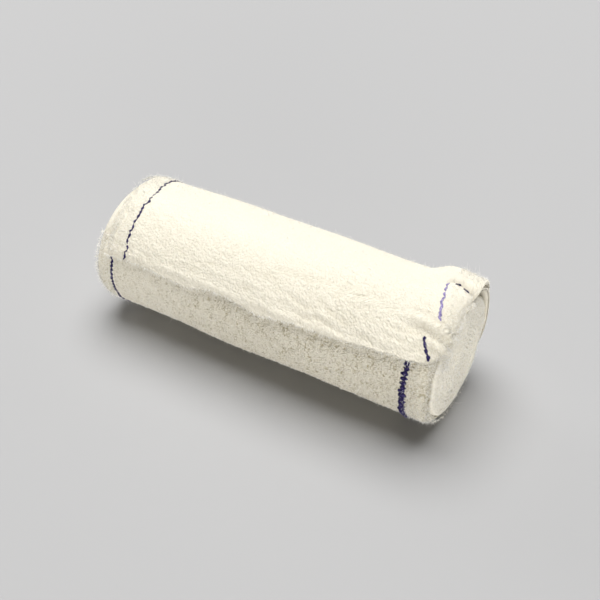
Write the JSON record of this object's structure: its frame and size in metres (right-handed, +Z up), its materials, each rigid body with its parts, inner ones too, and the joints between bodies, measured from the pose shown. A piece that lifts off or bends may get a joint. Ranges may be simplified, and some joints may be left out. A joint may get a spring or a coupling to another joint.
{
  "type": "crepe bandage roll",
  "caption": "Rolled elastic crepe bandage of cream cotton with an indigo marker yarn near each selvedge and its loose end lying over the top.",
  "frame": {"origin": "middle of the footprint, on the surface the roll lies on", "axes": "+X along the roll towards the end where the loose end is folded over, +Y to the back, +Z up; the cut edge of the loose end shows on the -Y side"},
  "size_m": [0.1015, 0.0382, 0.0349],
  "materials": {
    "wound_crepe": "soft matt cotton crepe with fine cross ribs, rough and slightly fuzzy",
    "loose_crepe": "soft matt cotton crepe with fine cross ribs and soft puckers",
    "marker_yarn": "matt twisted indigo cotton yarn"
  },
  "bodies": {
    "root": {"roll": "wound_crepe", "loose_end": "loose_crepe"}
  },
  "joints": []
}
